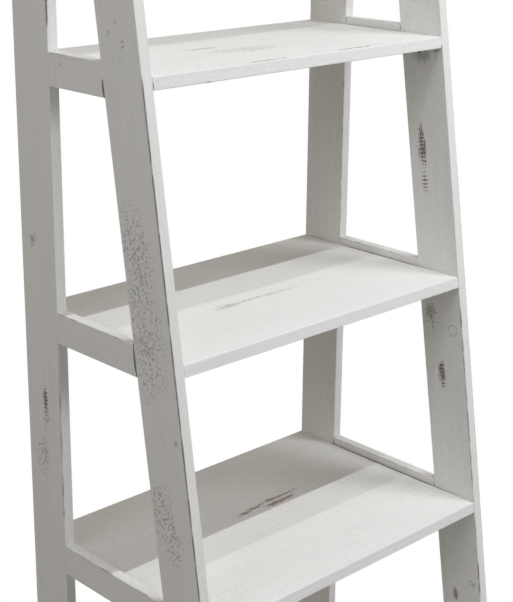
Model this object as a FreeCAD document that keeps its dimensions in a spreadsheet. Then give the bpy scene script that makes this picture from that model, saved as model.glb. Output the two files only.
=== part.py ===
"""Ladder bookcase.

Two A-shaped side frames carry five solid shelf boards between them. Each side frame is an upright
back post and a raked front post, joined by one short rail per shelf. The rails are tenoned into the
posts, at the front behind raked shoulders, and the shelves are tongued into stopped housings, so no
joint and no fastener breaks an outside face. The front of the case faces -Y, the rear faces of the
posts and shelves share one upright plane, and the origin is on the floor under the case's middle.
"""
import FreeCAD
import Part
import Sketcher
import os

doc = FreeCAD.newDocument("ladder_bookcase")

# Driving dimensions, in millimetres and degrees
SIZES = {
    # The whole case
    "case_width": 680,
    "case_height": 1830,
    # Lean of the front posts, and the clear gap between the two posts of a side at their tops
    "rake_angle": 8.7,
    "head_gap": 59,
    # Boards: one thickness for posts and rails, another for shelves
    "board_thickness": 19,
    "post_width": 90,
    "rail_height": 52,
    "shelf_thickness": 19,
    # Each rail stands above its shelf as a lip
    "rail_lip": 13,
    # Levels: the lowest shelf's top above the floor, and the posts' tops above the highest shelf
    "shelf_count": 5,
    "first_shelf_height": 110,
    "horn_height": 56,
    # Hand-eased edges
    "board_edge_radius": 1,
    "shelf_edge_radius": 1.5,
    # Blind tenons on the rails, and the wood left between a mortise and the housing beside it
    "tenon_length": 25,
    "tenon_thickness": 6,
    "tenon_shoulder": 8,
    "mortise_web": 2.5,
    # Housings for the shelves' tongues, stopped short of the front and rear faces, and the shoulder
    # above and below each tongue
    "housing_depth": 4,
    "housing_stop": 12,
    "tongue_shoulder": 3.5,
    # Room for glue beside and behind each tongue and tenon
    "joint_side_gap": 0.1,
    "joint_end_gap": 0.5,
    # How far a cut runs past the face that it opens
    "cut_overrun": 2,
}

# Sizes that follow from the driving ones
LAYOUT = {
    "rake_slope": "tan(Sizes.rake_angle)",
    "post_run": "Sizes.post_width / cos(Sizes.rake_angle)",
    "post_length": "Sizes.case_height / cos(Sizes.rake_angle)",
    "post_skew": "Sizes.post_width * rake_slope",
    "case_depth": "Sizes.post_width + Sizes.head_gap + post_run + Sizes.case_height * rake_slope",
    "rear_face": "case_depth / 2",
    "side_centre": "(Sizes.case_width - Sizes.board_thickness) / 2",
    "shelf_length": "Sizes.case_width - 2 * Sizes.board_thickness",
    "level_span": "Sizes.case_height - Sizes.first_shelf_height - Sizes.horn_height",
    "shelf_pitch": "level_span / (Sizes.shelf_count - 1)",
    "raked_pitch": "shelf_pitch / cos(Sizes.rake_angle)",
    "rail_drop": "Sizes.rail_height / 2 - Sizes.rail_lip",
    "half_tenon": "Sizes.rail_height / 2 - Sizes.tenon_shoulder",
    "half_mortise": "half_tenon + Sizes.joint_side_gap",
    "mortise_depth": "Sizes.tenon_length + Sizes.joint_end_gap",
    "mortise_width": "Sizes.tenon_thickness + 2 * Sizes.joint_side_gap",
    "tenon_inset": "Sizes.housing_depth + Sizes.mortise_web + Sizes.tenon_thickness / 2",
    "tenon_offset": "Sizes.board_thickness / 2 - tenon_inset",
    "tongue_length": "shelf_length + 2 * (Sizes.housing_depth - Sizes.joint_end_gap)",
    "half_housing": "Sizes.shelf_thickness / 2 - Sizes.tongue_shoulder + Sizes.joint_side_gap",
    "housing_end": "Sizes.housing_stop - Sizes.joint_side_gap",
}


def sheet_of(name, cells):
    """A sheet with one named row per cell."""
    sheet = doc.addObject("Spreadsheet::Sheet", name)
    for row, (alias, content) in enumerate(cells.items(), start=1):
        sheet.set(f"A{row}", alias)
        sheet.set(f"B{row}", str(content))
        sheet.setAlias(f"B{row}", alias)
    doc.recompute()
    return sheet


sizes = sheet_of("Sizes", SIZES)
sheet_of("Layout", {alias: "=" + formula for alias, formula in LAYOUT.items()})

# Which way each side lies from the middle of the case
SIDES = {"left": -1, "right": 1}
LEVELS = range(int(sizes.shelf_count))
LEAN_AXIS = FreeCAD.Vector(-1, 0, 0)
# Two directions count as parallel under this angle, in radians
PARALLEL_ANGLE = 0.001


# Heights and depths, as expressions; a level counts from 0 at the lowest shelf

def shelf_top(level):
    return f"(Sizes.first_shelf_height + {level} * Layout.shelf_pitch)"


def shelf_middle(level):
    return f"({shelf_top(level)} - Sizes.shelf_thickness / 2)"


def rail_middle(level):
    return f"({shelf_top(level)} - Layout.rail_drop)"


def below_and_above(middle, half_height):
    return f"({middle} - {half_height})", f"({middle} + {half_height})"


def gap_at(height):
    """Clear depth between the back post and the front post at a height above the floor."""
    return f"(Sizes.head_gap + (Sizes.case_height - {height}) * Layout.rake_slope)"


def depth_at(height):
    """Depth of the case at a height, from the rear plane to the raked front."""
    return f"(Sizes.post_width + {gap_at(height)} + Layout.post_run)"


def inner_face(side):
    """Offset of a side frame's inner face from the middle of its thickness."""
    return f"{-side} * Sizes.board_thickness / 2"


def tenon_plane(side):
    """Offset of the tenons' middle from the middle of the side frame's thickness."""
    return f"{-side} * Layout.tenon_offset"


# Modelling steps shared by the pieces

def new_body(name, place, lean=None):
    """A body whose origin stands at a place, leaning to the rear by an angle."""
    body = doc.addObject("PartDesign::Body", name)
    body.Label = name
    if lean:
        body.Placement = FreeCAD.Placement(
            FreeCAD.Vector(), FreeCAD.Rotation(LEAN_AXIS, sizes.evalExpression(lean)))
        body.setExpression("Placement.Rotation.Angle", lean)
    for axis, expression in zip("xyz", place):
        body.setExpression(f"Placement.Base.{axis}", expression)
    return body


def origin_feature(body, role):
    return next(item for item in body.Origin.OriginFeatures if item.Role == role)


def hold_point(sketch, line, place):
    """Dimension the start of a sketch line from the sketch's origin."""
    for kind, expression in zip(("DistanceX", "DistanceY"), place):
        distance = sizes.evalExpression(expression)
        index = sketch.addConstraint(Sketcher.Constraint(kind, -1, 1, line, 1, distance))
        sketch.setExpression(f"Constraints[{index}]", expression)


def side_outline(body, name, corners, offset="0"):
    """A closed outline seen from the side, through dimensioned corners, at an offset along X."""
    sketch = body.newObject("Sketcher::SketchObject", f"{body.Name}_{name}_outline")
    sketch.AttachmentSupport = [(origin_feature(body, "YZ_Plane"), "")]
    sketch.MapMode = "FlatFace"
    sketch.setExpression("AttachmentOffset.Base.z", offset)
    points = [
        FreeCAD.Vector(*(sizes.evalExpression(expression) for expression in corner)) for corner in corners]
    for start, end in zip(points, points[1:] + points[:1]):
        sketch.addGeometry(Part.LineSegment(start, end))
    for line in range(len(points)):
        sketch.addConstraint(Sketcher.Constraint("Coincident", line, 2, (line + 1) % len(points), 1))
    for line, corner in enumerate(corners):
        hold_point(sketch, line, corner)
    return sketch


def add_feature(body, kind, name, length=None, **settings):
    """A feature at the end of the body, with its plain settings and its bound length."""
    feature = body.newObject(f"PartDesign::{kind}", f"{body.Name}_{name}")
    for setting, value in settings.items():
        setattr(feature, setting, value)
    if length:
        feature.setExpression("Length", length)
    body.Tip = feature
    return feature


def pad_evenly(body, name, corners, length, offset="0"):
    """Pad an outline to both sides of its plane."""
    outline = side_outline(body, name, corners, offset)
    return add_feature(body, "Pad", name, length, Profile=outline, SideType="Symmetric")


def ease_edges(body, board, radius, along=None):
    """Round the board's edges, or only those that run along one direction."""
    doc.recompute()
    names = [
        f"Edge{number}" for number, edge in enumerate(board.Shape.Edges, start=1)
        if along is None or edge.tangentAt(edge.FirstParameter).isParallel(along, PARALLEL_ANGLE)
    ]
    fillet = add_feature(body, "Fillet", "eased_edges", Base=(board, names))
    fillet.setExpression("Radius", radius)


def cut_housing(body, side, corners):
    """Groove for a shelf's tongue in the inner face of a post or rail."""
    outline = side_outline(body, "housing", corners, inner_face(side))
    return add_feature(
        body, "Pocket", "housing", "Sizes.housing_depth", Profile=outline, Reversed=side > 0)


def repeat_at_levels(body, feature, pitch):
    """Repeat a cut at every shelf level, along the body's own upward axis."""
    pattern = add_feature(
        body, "LinearPattern", f"{feature.Name}_levels", Originals=[feature],
        Direction=(origin_feature(body, "Z_Axis"), [""]), Mode="Spacing")
    pattern.setExpression("Offset", pitch)
    pattern.setExpression("Occurrences", "Sizes.shelf_count")


# Posts

def cut_post_joints(body, side, post_point, post_depth, pitch):
    """One mortise and one stopped housing per level, both open at the post's joint face.

    post_point gives the sketch place of a point at a height and a level distance into the post.
    """
    mouth = "(-Sizes.cut_overrun)"

    def level_slot(middle, half_height, end):
        low, high = below_and_above(middle, half_height)
        places = [(low, mouth), (high, mouth), (high, end), (low, end)]
        return [post_point(height, inset) for height, inset in places]

    mortise_corners = level_slot(rail_middle(0), "Layout.half_mortise", "Layout.mortise_depth")
    mortise = add_feature(
        body, "Pocket", "mortise", "Layout.mortise_width", SideType="Symmetric",
        Profile=side_outline(body, "mortise", mortise_corners, tenon_plane(side)))
    repeat_at_levels(body, mortise, pitch)
    stop = f"({post_depth} - Layout.housing_end)"
    housing = cut_housing(body, side, level_slot(shelf_middle(0), "Layout.half_housing", stop))
    repeat_at_levels(body, housing, pitch)


def back_post(name, side):
    """Upright board; its origin is at the foot, on the rear face, midway through the thickness."""
    body = new_body(name, (f"{side} * Layout.side_centre", "Layout.rear_face", "0"))
    board = pad_evenly(body, "board", [
        ("0", "0"),
        ("0", "Sizes.case_height"),
        ("-Sizes.post_width", "Sizes.case_height"),
        ("-Sizes.post_width", "0"),
    ], "Sizes.board_thickness")
    ease_edges(body, board, "Sizes.board_edge_radius")

    def point(height, inset):
        return f"({inset} - Sizes.post_width)", height

    cut_post_joints(body, side, point, "Sizes.post_width", "Layout.shelf_pitch")


def front_post(name, side):
    """Raked board with both ends cut level; its origin is at the foot, on the front face."""
    body = new_body(
        name, (f"{side} * Layout.side_centre", "Layout.rear_face - Layout.case_depth", "0"),
        lean="Sizes.rake_angle")
    board = pad_evenly(body, "board", [
        ("0", "0"),
        ("Sizes.post_width", "Layout.post_skew"),
        ("Sizes.post_width", "Layout.post_length + Layout.post_skew"),
        ("0", "Layout.post_length"),
    ], "Sizes.board_thickness")
    ease_edges(body, board, "Sizes.board_edge_radius")

    def point(height, inset):
        return (
            f"(Sizes.post_width - {inset} * cos(Sizes.rake_angle))",
            f"({height} / cos(Sizes.rake_angle) + Layout.post_skew - {inset} * sin(Sizes.rake_angle))",
        )

    cut_post_joints(body, side, point, "Layout.post_run", "Layout.raked_pitch")


# Rails

def rail(name, side, level):
    """Short board between two posts, square behind and cut to the rake in front.

    Its origin is halfway up its rear shoulder. The tenons run on level from both shoulders, and the
    front one ends parallel to the rake.
    """
    middle = rail_middle(level)
    body = new_body(name, (f"{side} * Layout.side_centre", "Layout.rear_face - Sizes.post_width", middle))

    def raked_corners(half_height, reach):
        low, high = below_and_above(middle, half_height)
        return [
            (reach, f"-{half_height}"),
            (reach, half_height),
            (f"-({gap_at(high)} + {reach})", half_height),
            (f"-({gap_at(low)} + {reach})", f"-{half_height}"),
        ]

    half_height = "(Sizes.rail_height / 2)"
    board = pad_evenly(body, "board", raked_corners(half_height, "0"), "Sizes.board_thickness")
    ease_edges(body, board, "Sizes.board_edge_radius", along=FreeCAD.Vector(0, 1, 0))
    pad_evenly(
        body, "tenons", raked_corners("Layout.half_tenon", "Sizes.tenon_length"),
        "Sizes.tenon_thickness", tenon_plane(side))

    low, high = below_and_above(shelf_middle(level), "Layout.half_housing")
    mouth = "Sizes.cut_overrun"
    far_end = f"-({gap_at(low)} + {mouth})"
    cut_housing(body, side, [
        (mouth, f"{low} - {middle}"),
        (mouth, f"{high} - {middle}"),
        (far_end, f"{high} - {middle}"),
        (far_end, f"{low} - {middle}"),
    ])


# Shelves

def shelf(name, level):
    """Board between the side frames, upright behind and bevelled to the rake in front.

    Its origin is on the top rear edge, midway along. Both ends carry a shouldered tongue that stops
    short of the front and rear edges.
    """
    top = shelf_top(level)
    body = new_body(name, ("0", "Layout.rear_face", top))

    def raked_corners(setback, shoulder):
        high = f"-{shoulder}"
        low = f"({shoulder} - Sizes.shelf_thickness)"
        return [
            (f"-{setback}", high),
            (f"-{setback}", low),
            (f"-({depth_at(f'({top} + {low})')} - {setback})", low),
            (f"-({depth_at(f'({top} + {high})')} - {setback})", high),
        ]

    board = pad_evenly(body, "board", raked_corners("0", "0"), "Layout.shelf_length")
    ease_edges(body, board, "Sizes.shelf_edge_radius", along=FreeCAD.Vector(1, 0, 0))
    pad_evenly(
        body, "tongues", raked_corners("Sizes.housing_stop", "Sizes.tongue_shoulder"),
        "Layout.tongue_length")


# Assembly

for side_name, side_sign in SIDES.items():
    back_post(f"{side_name}_back_post", side_sign)
    front_post(f"{side_name}_front_post", side_sign)
    for level in LEVELS:
        rail(f"{side_name}_rail_{level + 1}", side_sign, level)

for level in LEVELS:
    shelf(f"shelf_{level + 1}", level)

doc.recompute()

# Nothing is written unless every feature is sound and every cut removes wood
for item in doc.Objects:
    if {"Invalid", "Error"} & set(item.State):
        raise RuntimeError(f"{item.Name} failed: {item.State}")
    if item.isDerivedFrom("PartDesign::Pocket") and item.Shape.Volume >= item.BaseFeature.Shape.Volume:
        raise RuntimeError(f"{item.Name} removes nothing")

bodies = doc.findObjects("PartDesign::Body")
for body in bodies:
    if body.Shape.isNull() or not body.Shape.isValid():
        raise RuntimeError(f"{body.Label} has no valid shape")

os.makedirs("parts", exist_ok=True)
for body in bodies:
    body.Shape.exportStep(f"parts/{body.Label}.step")
    print(body.Label, len(body.Shape.Solids), round(body.Shape.Volume), body.Shape.BoundBox)
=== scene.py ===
import math

import bpy
from mathutils import Matrix, Vector, noise


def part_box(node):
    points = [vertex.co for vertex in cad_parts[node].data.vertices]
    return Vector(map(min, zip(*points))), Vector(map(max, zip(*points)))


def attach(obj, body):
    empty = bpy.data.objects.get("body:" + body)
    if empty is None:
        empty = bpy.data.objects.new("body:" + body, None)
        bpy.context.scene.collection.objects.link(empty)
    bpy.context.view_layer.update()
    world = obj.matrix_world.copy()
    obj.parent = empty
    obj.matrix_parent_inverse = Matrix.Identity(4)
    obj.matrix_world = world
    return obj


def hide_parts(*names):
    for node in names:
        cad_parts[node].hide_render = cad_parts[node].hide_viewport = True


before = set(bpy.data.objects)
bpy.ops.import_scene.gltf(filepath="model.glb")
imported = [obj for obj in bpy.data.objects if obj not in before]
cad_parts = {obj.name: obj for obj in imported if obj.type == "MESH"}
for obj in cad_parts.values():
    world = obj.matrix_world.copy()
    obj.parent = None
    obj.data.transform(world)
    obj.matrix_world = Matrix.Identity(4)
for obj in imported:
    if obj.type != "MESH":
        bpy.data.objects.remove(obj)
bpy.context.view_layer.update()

# Back posts: two upright pine boards of 19 by 90 mm, with square ends that stand on the floor.
# They carry the rear ends of the rails and shelves in blind glued joints, so only painted faces show.
# They were painted white, then rubbed through by hand along the arrises and in places on the faces.
MM = 0.001


def worn_board(node, near_end, far_end, paint, rubbed=(), jointed=False):
    """Lofts a board between two four-cornered ends, its long arrises rubbed down unevenly.

    rubbed lists the stretches of arris that were rubbed most, as (arris, from, to, wear), in mm from the
    near end. A jointed board butts against others, and the paint has opened along its ends.
    """
    # The flat of a face starts guard from the arris, and a rub runs out over taper at each end.
    station_gap, guard, taper = 6 * MM, 2.2 * MM, 40 * MM
    eased, rub_depth, light_wear = 0.9 * MM, 0.7 * MM, 0.3
    wear_wave, slow_wear, quick_wear, quick_rate = 30 * MM, 0.35, 0.2, 3.1
    arris_apart, board_apart = 5.3, 0.37 * sum(map(ord, node))  # so that no two arrises wear alike
    arc = [math.radians(angle) for angle in (0, 22.5, 45, 67.5, 90)]
    length = sum((b - a for a, b in zip(near_end, far_end)), Vector()).length / len(near_end)
    count = max(2, round((length - 2 * eased) / station_gap))
    stations = [(eased * (1 - math.cos(a)), eased * (1 - math.sin(a))) for a in arc[:-1]]
    stations += [(eased + (length - 2 * eased) * i / count, 0.0) for i in range(count + 1)]
    stations += [(length - along, inset) for along, inset in reversed(stations[:len(arc) - 1])]
    points, wear, seams = [], [], []
    for along, inset in stations:
        corners = [a.lerp(b, along / length) for a, b in zip(near_end, far_end)]
        for arris, corner in enumerate(corners):
            back = (corners[arris - 1] - corner).normalized()
            on = (corners[(arris + 1) % len(corners)] - corner).normalized()
            place = Vector((along / wear_wave, arris * arris_apart, board_apart))
            uneven = slow_wear * noise.noise(place) + quick_wear * noise.noise(place * quick_rate)
            rubs = [most * min(1.0, (along - start * MM) / taper, (end * MM - along) / taper)
                    for at, start, end, most in rubbed if at == arris]
            worn = min(1.0, max([light_wear] + rubs) * (1.0 + uneven))
            cut = eased + rub_depth * worn
            corner = corner + (back + on) * inset
            points.append(corner + back * guard)
            for angle in arc:
                points.append(corner + (back * (1 - math.sin(angle)) + on * (1 - math.cos(angle))) * cut)
            points.append(corner + on * guard)
            wear += [0.0] + [worn] * len(arc) + [0.0]
            seams += [float(jointed and not eased < along < length - eased)] * (len(arc) + 2)
    ring = len(points) // len(stations)
    faces = [list(range(ring))[::-1], list(range(len(points) - ring, len(points)))]
    for row in range(len(stations) - 1):
        for i in range(ring):
            a, b = row * ring + i, row * ring + (i + 1) % ring
            faces.append((a, b, b + ring, a + ring))
    mesh = bpy.data.meshes.new(node)
    mesh.from_pydata(points, [], faces)
    mesh.attributes.new("worn", "FLOAT", "POINT").data.foreach_set("value", wear)
    mesh.attributes.new("seam", "FLOAT", "POINT").data.foreach_set("value", seams)
    mesh.shade_smooth()
    mesh.materials.append(paint)
    board = bpy.data.objects.new(node + "_board", mesh)
    bpy.context.scene.collection.objects.link(board)
    board.modifiers.new("flat_faces", "WEIGHTED_NORMAL")
    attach(board, "root")
    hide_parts(node)


def linear(colour):
    """An sRGB hex colour as linear red, green, blue and alpha."""
    parts = [int(colour[i:i + 2], 16) / 255 for i in (1, 3, 5)]
    return [c / 12.92 if c <= 0.04045 else ((c + 0.055) / 1.055) ** 2.4 for c in parts] + [1.0]


def add(tree, kind, inputs, **settings):
    """Adds a node with its settings. An input is a value, a socket, or a node whose first output is taken.

    A Mix of colours has its factor at input 0, the colours at 6 and 7, and the result at output 2.
    """
    made = tree.nodes.new("ShaderNode" + kind)
    for name, value in settings.items():
        setattr(made, name, value)
    for socket, value in inputs.items():
        if isinstance(value, bpy.types.Node):
            value = value.outputs[0]
        if isinstance(value, bpy.types.NodeSocket):
            tree.links.new(value, made.inputs[socket])
        else:
            made.inputs[socket].default_value = value
    return made


def streaks(tree, place, grain, across, along):
    """Noise in streaks that run with the grain, across mm wide and along mm long."""
    size = [across] * 3
    size[grain] = along
    stretched = add(tree, "Mapping", {"Vector": place, "Scale": size}, vector_type="TEXTURE")
    return add(tree, "TexNoise", {"Vector": stretched, "Scale": 1.0, "Detail": 3.0})


def inside(tree, place, marks):
    """How deep a point lies in the nearest of the marks: 1 at its middle and 0 outside them all."""
    deepest = 0.0
    for centre, half_size in marks:
        near = add(tree, "Mapping", {
            "Vector": place, "Location": centre, "Scale": half_size}, vector_type="TEXTURE")
        ball = add(tree, "TexGradient", {"Vector": near}, gradient_type="SPHERICAL").outputs["Fac"]
        deepest = add(tree, "Math", {0: ball, 1: deepest}, operation="MAXIMUM")
    return deepest


def stained_and_shaded(tree, coat, place, grain, marks):
    """Grime on the paint, and painted shade: wiped smudge marks, rings left by wet pots, and a spatter of
    short slanting flecks.
    """
    grime_and_shade, stain = linear("#8f8d88"), linear("#625f5c")
    streak_weight = 1.4
    # Smudge marks darken the paint towards grey. The one under the fourth shelf on the right front post is
    # partly painted shade from the shelf above and partly real dark marks.
    depth = inside(tree, place, marks.get("smudges_and_shade", ()))
    smudge_and_shade = streaks(tree, place, grain, across=2.5, along=60)
    smudge_and_shade = add(tree, "Math", {0: smudge_and_shade, 1: streak_weight, 2: depth}, operation="MULTIPLY_ADD")
    smudge_and_shade = add(tree, "MapRange", {
        "Value": smudge_and_shade, "From Min": 1.0, "From Max": 1.5, "To Max": 0.6}, interpolation_type="SMOOTHSTEP")
    coat = add(tree, "Mix", {0: smudge_and_shade, 6: coat, 7: grime_and_shade}, data_type="RGBA").outputs[2]

    # A ring dried to a broken line, a little inside the edge of the drop that left it.
    line_depth, line_width, gap_size = 0.3, 0.12, 5
    depth = inside(tree, place, marks.get("rings", ()))
    ring = add(tree, "Math", {0: depth, 1: line_depth, 2: line_width}, operation="COMPARE")
    gaps = add(tree, "TexNoise", {"Vector": place, "Scale": 1 / gap_size, "Detail": 2.0})
    gaps = add(tree, "MapRange", {"Value": gaps, "From Min": 0.4, "From Max": 0.65, "To Max": 0.6})
    ring = add(tree, "Math", {0: ring, 1: gaps}, operation="MULTIPLY")
    coat = add(tree, "Mix", {0: ring, 6: coat, 7: grime_and_shade}, data_type="RGBA").outputs[2]

    # The spatter flew up and forwards, so its flecks slant, and they lie closest at the middle of a patch.
    slant, fleck_size, drop_gap = math.radians(40), (3, 3, 5.5), 8
    middle_weight, drop_share = 0.14, 0.3
    depth = inside(tree, place, marks.get("spatters", ()))
    slanted = add(tree, "Mapping", {
        "Vector": place, "Rotation": (slant, 0, 0), "Scale": fleck_size}, vector_type="TEXTURE")
    fleck = add(tree, "TexNoise", {"Vector": slanted, "Scale": 1.0, "Detail": 1.0})
    fleck = add(tree, "Math", {0: depth, 1: middle_weight, 2: fleck}, operation="MULTIPLY_ADD")
    fleck = add(tree, "MapRange", {
        "Value": fleck, "From Min": 0.56, "From Max": 0.76, "To Max": 0.5}, interpolation_type="SMOOTHSTEP")
    patch = add(tree, "MapRange", {"Value": depth, "From Max": 0.25})
    fleck = add(tree, "Math", {0: fleck, 1: patch}, operation="MULTIPLY")
    coat = add(tree, "Mix", {0: fleck, 6: coat, 7: stain}, data_type="RGBA").outputs[2]
    drops = add(tree, "TexVoronoi", {"Vector": place, "Scale": 1 / drop_gap})
    chance = add(tree, "SeparateColor", {0: drops.outputs["Color"]})
    chosen = add(tree, "Math", {0: depth, 1: drop_share}, operation="MULTIPLY")
    chosen = add(tree, "Math", {0: chance, 1: chosen}, operation="LESS_THAN")
    drop = add(tree, "MapRange", {
        "Value": drops, "From Min": 0.1, "From Max": 0.3, "To Min": 0.58, "To Max": 0.0})
    drop = add(tree, "Math", {0: drop, 1: chosen}, operation="MULTIPLY")
    return add(tree, "Mix", {0: drop, 6: coat, 7: stain}, data_type="RGBA").outputs[2]


def sanded(tree, coat, place, grain, marks):
    """Pine laid bare by sanding: streaky rubs with a dark rim, ticks on the saw's ridges, worn arrises.

    Gives the colour of the coat and how bare it is, from 0 for sound paint to 1 for wood.
    """
    bare_pine, rim = linear("#c0a69b"), linear("#6b6058")
    streak_weight = 2.6
    depth = inside(tree, place, marks.get("rubs", ()))
    rub = streaks(tree, place, grain, across=2.0, along=32)
    rub = add(tree, "Math", {0: rub, 1: streak_weight, 2: depth}, operation="MULTIPLY_ADD")
    core = add(tree, "MapRange", {
        "Value": rub, "From Min": 1.87, "From Max": 2.08}, interpolation_type="SMOOTHSTEP")
    rub = add(tree, "MapRange", {
        "Value": rub, "From Min": 1.65, "From Max": 1.85}, interpolation_type="SMOOTHSTEP")
    patch = add(tree, "MapRange", {"Value": depth, "From Max": 0.2})
    rub = add(tree, "Math", {0: rub, 1: patch}, operation="MULTIPLY")
    wood = add(tree, "Mix", {0: core, 6: rim, 7: bare_pine}, data_type="RGBA").outputs[2]
    coat = add(tree, "Mix", {0: rub, 6: coat, 7: wood}, data_type="RGBA").outputs[2]

    # The saw left a ridge across the board every 7 mm or so, and the sandpaper cut those first.
    wave_length = math.pi / 10  # of a wave texture at scale 1
    ridge_pitch, fleck_size = 6.8, 2.5
    ridge_weight, tick_fleck_weight, edge_fleck_weight = 0.8, 0.9, 0.5
    fleck = add(tree, "TexNoise", {"Vector": place, "Scale": 1 / fleck_size, "Detail": 3.0})
    ridges = add(tree, "TexWave", {
        "Vector": place, "Scale": wave_length / ridge_pitch, "Distortion": 1.5, "Detail": 2.0},
        bands_direction="XYZ"[grain])
    depth = inside(tree, place, marks.get("ticks", ()))
    tick = add(tree, "Math", {
        0: ridges.outputs["Fac"], 1: ridge_weight, 2: depth}, operation="MULTIPLY_ADD")
    tick = add(tree, "Math", {0: fleck, 1: tick_fleck_weight, 2: tick}, operation="MULTIPLY_ADD")
    tick = add(tree, "MapRange", {
        "Value": tick, "From Min": 1.4, "From Max": 1.9, "To Max": 0.85}, interpolation_type="SMOOTHSTEP")
    worn = add(tree, "Attribute", {}, attribute_name="worn").outputs["Fac"]
    edge = add(tree, "Math", {0: fleck, 1: edge_fleck_weight, 2: worn}, operation="MULTIPLY_ADD")
    edge = add(tree, "MapRange", {
        "Value": edge, "From Min": 0.6, "From Max": 1.1, "To Max": 0.85}, interpolation_type="SMOOTHSTEP")
    dark = add(tree, "Math", {0: tick, 1: edge}, operation="MAXIMUM")
    coat = add(tree, "Mix", {0: dark, 6: coat, 7: rim}, data_type="RGBA").outputs[2]
    return coat, add(tree, "Math", {0: rub, 1: dark}, operation="MAXIMUM")


def sanded_white_paint(name, grain, marks, shift=(0, 0, 0), turn=0.0):
    """White eggshell paint brushed on sawn pine, and sanded through in places.

    To the eye it is a dull white with a fine stipple and faint bristle lines, and mirrors nothing.
    grain is the axis that the boards run along once shift and turn, in mm and radians, have set them square.
    marks holds, for each kind of mark, the middle and half the size of each one in mm.
    """
    material = bpy.data.materials.new(name)
    material.use_nodes = True
    tree = material.node_tree
    tree.nodes.clear()
    place = add(tree, "TexCoord", {}).outputs["Object"]
    place = add(tree, "Mapping", {
        "Vector": place, "Location": shift, "Rotation": (turn, 0, 0), "Scale": (1 / MM,) * 3})

    # The outlines of marks wander, here by up to half of wander_reach either way.
    wander_size, wander_reach = 8, 5
    wander = add(tree, "TexNoise", {"Vector": place, "Scale": 1 / wander_size, "Detail": 2.0})
    ragged = add(tree, "VectorMath", {
        0: wander.outputs["Color"], 1: (wander_reach,) * 3, 2: place}, operation="MULTIPLY_ADD")
    ragged = add(tree, "VectorMath", {0: ragged, 1: (wander_reach / 2,) * 3}, operation="SUBTRACT")

    # Bristle lines and stipple are drawn a few times coarser than real ones, which are too fine to show.
    # The brush also left broad faint bands where its strokes overlapped.
    stipple_size, bristle_weight, band_weight = 2.5, 0.5, 0.25
    bands = streaks(tree, place, grain, across=9, along=260)
    bristles = streaks(tree, place, grain, across=1.6, along=120)
    stipple = add(tree, "TexNoise", {"Vector": place, "Scale": 1 / stipple_size, "Detail": 2.0})
    texture = add(tree, "Math", {0: bristles, 1: bristle_weight, 2: stipple}, operation="MULTIPLY_ADD")
    tone = add(tree, "Math", {0: bands, 1: band_weight, 2: texture}, operation="MULTIPLY_ADD")
    tone = add(tree, "MapRange", {"Value": tone, "From Min": 0.525, "From Max": 1.225})
    thin, thick = linear("#dbdbd9"), linear("#f3f2ef")
    coat = add(tree, "Mix", {0: tone, 6: thin, 7: thick}, data_type="RGBA").outputs[2]
    coat = stained_and_shaded(tree, coat, ragged, grain, marks)
    coat, bare = sanded(tree, coat, ragged, grain, marks)

    # Joints, where the paint has cracked open along part of the line.
    crack, crack_length = linear("#3d3832"), 30
    seam = add(tree, "Attribute", {}, attribute_name="seam").outputs["Fac"]
    opened = add(tree, "TexNoise", {"Vector": place, "Scale": 1 / crack_length})
    depth = inside(tree, place, marks.get("cracks", ()))
    opened = add(tree, "Math", {0: opened, 1: depth}, operation="ADD")
    opened = add(tree, "Math", {0: seam, 1: opened}, operation="MULTIPLY")
    opened = add(tree, "MapRange", {"Value": opened, "From Min": 0.52, "From Max": 0.62, "To Max": 0.85})
    coat = add(tree, "Mix", {0: opened, 6: coat, 7: crack}, data_type="RGBA").outputs[2]

    # Bare wood lies lower than the paint round it, and is duller.
    bare_depth, paint_relief = 0.6, 0.4 * MM
    height = add(tree, "Math", {0: bare, 1: -bare_depth, 2: texture}, operation="MULTIPLY_ADD")
    bump = add(tree, "Bump", {"Height": height, "Strength": 0.3, "Distance": paint_relief})
    roughness = add(tree, "MapRange", {"Value": bare, "To Min": 0.7, "To Max": 0.9})
    shader = add(tree, "BsdfPrincipled", {
        "Base Color": coat, "Roughness": roughness, "IOR": 1.5, "Normal": bump})
    add(tree, "OutputMaterial", {"Surface": shader})
    return material


def level_end(low, high, z):
    """The four corners of a post's end at height z, from the left front one round to the left rear one."""
    return [Vector((x, y, z)) for x, y in
            ((low.x, low.y), (high.x, low.y), (high.x, high.y), (low.x, high.y))]


left_outer, left_inner = (corner.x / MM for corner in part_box("left_back_post"))
right_inner, right_outer = (corner.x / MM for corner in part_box("right_back_post"))
post_front, post_rear = (corner.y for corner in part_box("left_back_post"))
post_depth = (post_rear - post_front) / MM
skin = 6  # mm that a mark reaches into a board
left_front, right_front, right_rear = range(3)  # a post's arrises, counted as the corners of its ends

# A mark on a back post is placed by the face it is on, how far behind the post's front it lies, and
# its height. Its size is half of what it measures each way.
back_post_paint = sanded_white_paint("sanded_white_paint_back_posts", grain=2, marks={
    "smudges_and_shade": [
        ((left_outer, 59, 1065), (skin, 8, 12)), ((left_outer + 8, -3, 1197), (5, skin, 9)),
        ((left_inner, 52, 1180), (skin, 14, 22)), ((right_outer, 30, 640), (skin, 12, 20))],
    "ticks": [
        ((left_outer, 40, 786), (skin, 12, 48)), ((left_outer, 0, 1520), (8, 8, 150)),
        ((right_outer, 46, 1290), (skin, 13, 52)), ((left_inner, 44, 330), (skin, 11, 40))],
    "rubs": [
        ((left_outer, 41, 794), (skin, 8, 30)), ((right_outer, 46, 1298), (skin, 10, 38)),
        ((left_inner, 44, 336), (skin, 8, 28)), ((left_outer + 9, post_depth, 470), (9, skin, 60)),
        ((right_inner + 11, post_depth, 1120), (9, skin, 80))],
    "spatters": [
        ((left_outer, 58, 1065), (skin, 12, 18)), ((left_outer, 52, 692), (skin, 22, 50)),
        ((left_outer, 40, 752), (skin, 12, 26)), ((right_inner, 3, 1247), (skin, 5, 8)),
        ((right_outer, 56, 920), (skin, 36, 90))],
}, shift=(0, -post_front / MM, 0))
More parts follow.
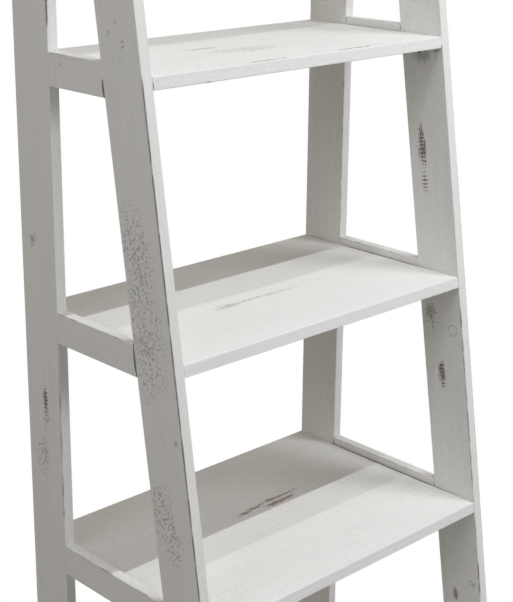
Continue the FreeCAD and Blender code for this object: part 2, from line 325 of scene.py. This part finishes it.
back_post_wear = {
    "left": [(left_front, 560, 890, 0.6), (left_front, 1385, 1870, 1.0)],
    "right": [(left_front, 900, 1400, 0.5), (left_front, 1220, 1270, 1.0), (left_front, 1055, 1095, 1.0),
              (right_rear, 240, 760, 0.7)],
}
for side, rubbed in back_post_wear.items():
    low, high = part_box(side + "_back_post")
    worn_board(side + "_back_post", level_end(low, high, low.z), level_end(low, high, high.z),
               back_post_paint, rubbed)

# Front posts: two pine boards of the same stock, raked so that their tops lean to the rear.
# Their ends are cut level to stand on the floor, and their rear edges take the raked ends of the rails.
# The shelves' front edges give the rake, and the feet stand as far forward as the back posts reach back.
(low_shelf, _), (high_shelf, _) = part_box("shelf_1"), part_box("shelf_5")
rake_slope = (high_shelf.y - low_shelf.y) / (high_shelf.z - low_shelf.z)
rake = math.atan(rake_slope)
front_foot = -post_rear
front_post_run = (post_rear - post_front) / math.cos(rake)

# A mark here is placed by its face, how far behind the raked front it lies, and how far up the post.
front_post_paint = sanded_white_paint("sanded_white_paint_front_posts", grain=2, marks={
    "smudges_and_shade": [
        # The mark just under the fourth shelf on the right post's inner face is partly painted shade from
        # that shelf, laid over real dark marks.
        ((left_outer, 14, 836), (skin, 8, 10)), ((right_inner, 46, 1344), (skin, 46, 22)),
        ((right_inner, 70, 886), (skin, 22, 26)), ((right_inner, 53, 768), (skin, 13, 40)),
        ((right_inner, 58, 338), (skin, 12, 26)), ((left_inner, 60, 1130), (skin, 20, 26))],
    "rings": [((left_outer, 70, 893), (skin, 7, 7)), ((right_inner, 21, 853), (skin, 13, 14))],
    "spatters": [
        ((left_outer, 47, 1456), (skin, 6, 7)), ((left_outer, 66, 1440), (skin, 6, 7)),
        ((left_outer, 36, 1424), (skin, 7, 8)), ((left_outer, 45, 1402), (skin, 7, 8)),
        ((left_outer, 60, 1095), (skin, 44, 125)), ((left_outer, 56, 985), (skin, 48, 110)),
        ((left_outer, 64, 718), (skin, 32, 64)), ((left_outer, 50, 675), (skin, 28, 56)),
        ((left_outer, 40, 240), (skin, 34, 70)), ((right_inner, 18, 368), (skin, 14, 12)),
        ((right_inner, 68, 876), (skin, 20, 34)),
        ((right_outer, 40, 640), (skin, 40, 110))],
    "ticks": [
        ((right_inner, 61, 1182), (skin, 13, 58)), ((right_inner, 60, 1122), (skin, 10, 36)),
        ((right_inner, 53, 778), (skin, 9, 22)), ((right_inner, 52, 750), (skin, 8, 18)),
        ((right_inner, 52, 1350), (skin, 9, 7)), ((right_inner, 15, 1353), (skin, 20, 6)),
        ((left_inner, 46, 690), (skin, 13, 50)), ((right_outer, 52, 1270), (skin, 12, 46))],
    "rubs": [
        ((right_inner, 61, 1186), (skin, 12, 48)), ((right_inner, 53, 774), (skin, 8, 30)),
        ((right_inner, 58, 338), (skin, 6, 16)), ((left_inner, 46, 698), (skin, 10, 36)),
        ((right_outer, 52, 1276), (skin, 9, 32))],
}, turn=rake, shift=(0, -front_foot / MM * math.cos(rake), -front_foot / MM * math.sin(rake)))
front_post_wear = {
    "left": [(left_front, 300, 1400, 0.8)],
    "right": [(left_front, 320, 940, 0.6), (left_front, 835, 905, 1.0), (left_front, 360, 440, 1.0),
              (right_front, 420, 1180, 0.8)],
}
for side, rubbed in front_post_wear.items():
    low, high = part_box(side + "_front_post")
    low.y, high.y = front_foot, front_foot + front_post_run
    foot = level_end(low, high, low.z)
    head = [corner + Vector((0, rake_slope, 1.0)) * (high.z - low.z) for corner in foot]
    worn_board(side + "_front_post", foot, head, front_post_paint, rubbed)

# Rails: ten short pine boards, one at each end of each shelf, that tie a front post to a back post.
# The rear end is square and the front end is cut to the rake, with a glued tenon in each post.
shelf_count = sum(name.startswith("shelf_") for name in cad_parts)
shelf_top = {level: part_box(f"shelf_{level}")[1].z / MM for level in range(1, shelf_count + 1)}
rail_paint = sanded_white_paint("sanded_white_paint_rails", grain=1, marks={
    "smudges_and_shade": [
        ((left_outer, 140, shelf_top[4] - 2), (skin, 4, 5)),
        ((right_outer, 70, shelf_top[3] - 17), (skin, 34, 12))],
    "rubs": [((right_outer, 10, shelf_top[2] - 21), (skin, 44, 8))],
    "cracks": [
        ((left_outer, -27, shelf_top[3] - 17), (12, 16, 24)),
        ((left_outer, 34, shelf_top[4] - 26), (12, 12, 16))],
})
left_high = 3  # a rail's upper left arris, the last of the corners of its ends
rail_wear = [(left_high, 0, 400, 0.55)]
for level in shelf_top:
    for side in ("left", "right"):
        low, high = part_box(f"{side}_rail_{level}")
        back_end = [Vector((x, post_front, z)) for x, z in
                    ((low.x, low.z), (high.x, low.z), (high.x, high.z), (low.x, high.z))]
        front_end = [Vector((c.x, front_foot + front_post_run + c.z * rake_slope, c.z)) for c in back_end]
        worn_board(f"{side}_rail_{level}", front_end, back_end, rail_paint, rail_wear, jointed=True)

# Shelves: five solid pine boards between the side frames, tongued into the posts and rails and glued.
# The rear edge is square and flush with the back posts, and the front edge is planed to the rake.
# A mark whose middle lies above the surface only brushes it, and comes out fainter.
shelf_rear, shelf_width = post_rear / MM, right_inner - left_inner
shelf_thickness = shelf_top[1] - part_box("shelf_1")[0].z / MM
shelf_paint = sanded_white_paint("sanded_white_paint_shelves", grain=0, marks={
    "smudges_and_shade": [
        ((-88, 108, shelf_top[4] + 1), (70, 10, skin)), ((-30, 60, shelf_top[4] + 3), (170, 50, skin)),
        ((-6, 41, shelf_top[3] + 2), (150, 9, skin)), ((-86, 41, shelf_top[3] + 2), (56, 20, skin)),
        ((40, 190, shelf_top[5]), (150, 18, skin)),
        ((70, 90, shelf_top[3] - shelf_thickness), (140, 30, skin))],
    "rubs": [
        ((74, 79, shelf_top[2]), (66, 6, skin)), ((68, 65, shelf_top[2]), (54, 8, skin)),
        ((-20, 71, shelf_top[2] + 3), (44, 8, skin)), ((8, 75, shelf_top[2] + 1), (28, 7, skin)),
        ((-86, -45, shelf_top[4] + 2), (64, 6, skin)), ((118, -45, shelf_top[4] + 2), (80, 5, skin)),
        ((-216, -55, shelf_top[4] - shelf_thickness), (9, 5, 3)), ((-70, 20, shelf_top[1]), (80, 18, skin)),
        ((110, 150, shelf_top[5] + 1), (60, 9, skin)), ((150, shelf_rear, shelf_top[2] - 6), (70, skin, 7)),
        ((-130, shelf_rear, shelf_top[4] - 6), (60, skin, 7))],
    "cracks": [
        ((right_inner, 40, shelf_top[2]), (12, 170, 12)), ((right_inner, 60, shelf_top[3]), (12, 120, 12)),
        ((right_inner, 100, shelf_top[4]), (12, 100, 12)),
        ((right_inner, -36, shelf_top[4] - shelf_thickness), (12, 32, 8))],
})
rear_high = 1  # a shelf's upper rear arris, the second of the corners of its ends
shelf_wear = [(rear_high, 0, shelf_width, 0.65)]
for level in shelf_top:
    low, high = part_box(f"shelf_{level}")
    left_end = [Vector((left_inner * MM, y, z)) for y, z in
                ((post_rear, low.z), (post_rear, high.z), (front_foot + high.z * rake_slope, high.z),
                 (front_foot + low.z * rake_slope, low.z))]
    right_end = [Vector((right_inner * MM, c.y, c.z)) for c in left_end]
    worn_board(f"shelf_{level}", left_end, right_end, shelf_paint, shelf_wear, jointed=True)

# Floor: a plain pale studio floor that takes the bookcase's shadow. Its paint is matt and mirrors nothing.
# Away from the feet the camera sees it burn out to white, as a lit sweep does, from shadow_reach to
# burnt_out. Light on its way round meets a greyer floor, which sends less of it up under the shelves.
floor_half, shadow_reach, burnt_out = 12.0, 0.3, 0.62
floor_mesh = bpy.data.meshes.new("floor")
floor_mesh.from_pydata(
    [(x * floor_half, y * floor_half, 0) for x, y in ((-1, -1), (1, -1), (1, 1), (-1, 1))],
    [], [(0, 1, 2, 3)])
floor = bpy.data.objects.new("floor", floor_mesh)
bpy.context.scene.collection.objects.link(floor)
floor_paint = bpy.data.materials.new("matt_pale_floor_paint")
floor_paint.use_nodes = True
tree = floor_paint.node_tree
tree.nodes.clear()


def seen_directly(tree):
    """1 for what the camera sees, straight or in a gloss or glass, and 0 for light on its way round."""
    path = add(tree, "LightPath", {}).outputs
    seen = add(tree, "Math", {0: path["Is Camera Ray"], 1: path["Is Glossy Ray"]}, operation="MAXIMUM")
    return add(tree, "Math", {0: seen, 1: path["Is Transmission Ray"]}, operation="MAXIMUM")


place = add(tree, "TexCoord", {}).outputs["Object"]
away = add(tree, "VectorMath", {0: place}, operation="LENGTH").outputs["Value"]
far = add(tree, "MapRange", {
    "Value": away, "From Min": shadow_reach, "From Max": burnt_out}, interpolation_type="SMOOTHSTEP")
pale = add(tree, "BsdfDiffuse", {"Color": linear("#e6e6e4")})
bounce = add(tree, "BsdfDiffuse", {"Color": linear("#92918e")})
white = add(tree, "Emission", {"Color": linear("#ffffff"), "Strength": 1.0})
burnt = add(tree, "MixShader", {0: far, 1: pale, 2: white})
surface = add(tree, "MixShader", {0: seen_directly(tree), 1: bounce, 2: burnt})
add(tree, "OutputMaterial", {"Surface": surface})
floor_mesh.materials.append(floor_paint)

# Light: two narrow lamps overhead give each shelf's shadow two firm edges along its length, and the front
# one reaches past the right side, to light the shelves' right ends. Broad soft panels stand to the right
# and the left of the camera. All are a little cool, in a dim warm room that is paler to the rear.


def lamp(name, place, aim, size, power):
    """A rectangular lamp, size long by wide in metres, its long side level, turned towards aim."""
    data = bpy.data.lights.new(name, "AREA")
    data.shape = "RECTANGLE"
    data.size, data.size_y = size
    data.energy = power
    data.color = linear("#f8faff")[:3]
    made = bpy.data.objects.new(name, data)
    made.location = place
    made.rotation_mode = "QUATERNION"
    made.rotation_quaternion = (Vector(aim) - Vector(place)).to_track_quat("-Z", "Y")
    bpy.context.scene.collection.objects.link(made)


middle = (0, 0, 1.0)
lamp("overhead_front_lamp", place=(0.6, -1.32, 3.72), aim=(0.6, -3.6, 0), size=(1.8, 0.05), power=87.5)
lamp("overhead_rear_lamp", place=(-0.45, -0.78, 3.55), aim=(-0.45, -0.78, 0), size=(0.5, 0.05), power=13.6)
lamp("right_panel", place=(2.2, -3.2, 2.3), aim=middle, size=(1.8, 0.8), power=59.5)
lamp("left_panel", place=(-3.2, -0.4, 2.3), aim=middle, size=(2.0, 0.9), power=23.5)
front_level, rear_level = 0.122, 0.55
room = bpy.data.worlds.new("studio_room")
bpy.context.scene.world = room
room.use_nodes = True
tree = room.node_tree
tree.nodes.clear()
way = add(tree, "SeparateXYZ", {0: add(tree, "TexCoord", {}).outputs["Generated"]}).outputs["Y"]
paleness = add(tree, "MapRange", {
    "Value": way, "From Min": -0.2, "To Min": front_level, "To Max": rear_level})
dim = add(tree, "Background", {"Color": linear("#fff4e1"), "Strength": paleness})
white = add(tree, "Background", {"Color": linear("#ffffff"), "Strength": 1.0})
blend = add(tree, "MixShader", {0: seen_directly(tree), 1: dim, 2: white})
add(tree, "OutputWorld", {"Surface": blend})

# Camera: stands to the left of the front, a little above the middle, and frames the three middle shelves.
# Its place, turn and lens are those that set the boards' corners where the photograph has them.
azimuth, elevation, roll = math.radians(43.28), math.radians(17.47), math.radians(0.362)
eye = Vector((-1.5676, -1.5571, 1.6806))
camera_data = bpy.data.cameras.new("camera")
camera_data.sensor_width = 36
camera_data.lens = 83.22
camera_data.shift_x, camera_data.shift_y = 0.02876, -0.04256
camera = bpy.data.objects.new("camera", camera_data)
level_sight = Vector((math.sin(azimuth), math.cos(azimuth), 0))
sight = level_sight * math.cos(elevation) - Vector((0, 0, math.sin(elevation)))
turned = sight.to_track_quat("-Z", "Y").to_matrix() @ Matrix.Rotation(roll, 3, "Z")
camera.matrix_world = Matrix.Translation(eye) @ turned.to_4x4()
bpy.context.scene.collection.objects.link(camera)
bpy.context.scene.camera = camera
bpy.context.scene.view_settings.view_transform = "Standard"
